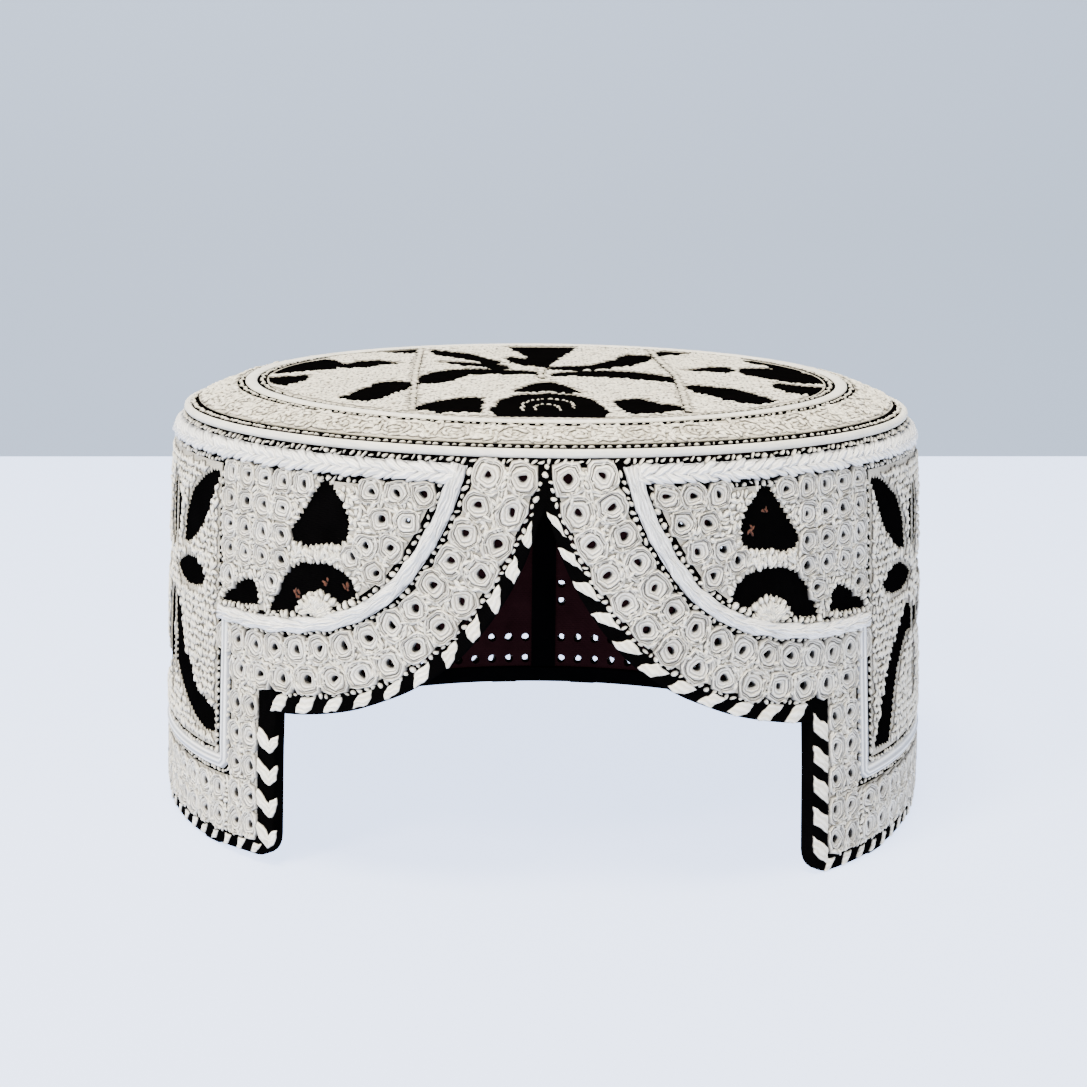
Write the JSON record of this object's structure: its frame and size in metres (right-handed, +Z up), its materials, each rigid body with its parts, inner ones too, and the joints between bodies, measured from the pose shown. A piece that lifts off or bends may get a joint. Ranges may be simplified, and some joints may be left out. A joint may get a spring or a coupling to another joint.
{
  "type": "sindhi cap",
  "caption": "Round embroidered cap with a flat crown, sloping shoulder and upright wall that is cut away at the front in a pointed arch between two flaps.",
  "frame": {"origin": "on the floor under the middle of the cap's box", "axes": "+Z up through the crown, the front arch faces -Y, the wearer's left is +X"},
  "size_m": [0.1868, 0.1838, 0.1025],
  "materials": {
    "embroidered_cloth": "dense cream thread on black ground cloth",
    "maroon_lining": "matt dark maroon cotton",
    "black_tape": "black cotton tape with white stitches",
    "white_floss": "white floss with a soft sheen"
  },
  "bodies": {
    "root": {"side_wall": "embroidered_cloth", "wall_lining": "maroon_lining", "edge_binding": "black_tape", "hem_binding": "black_tape", "arch_band_left": "white_floss", "arch_band_right": "white_floss", "panel_cord": "white_floss", "rim_braid": "white_floss", "rim_cord": "white_floss", "shoulder_band": "embroidered_cloth", "crown_ring": "white_floss", "crown_panel": "embroidered_cloth", "crown_lining": "maroon_lining"}
  },
  "joints": []
}
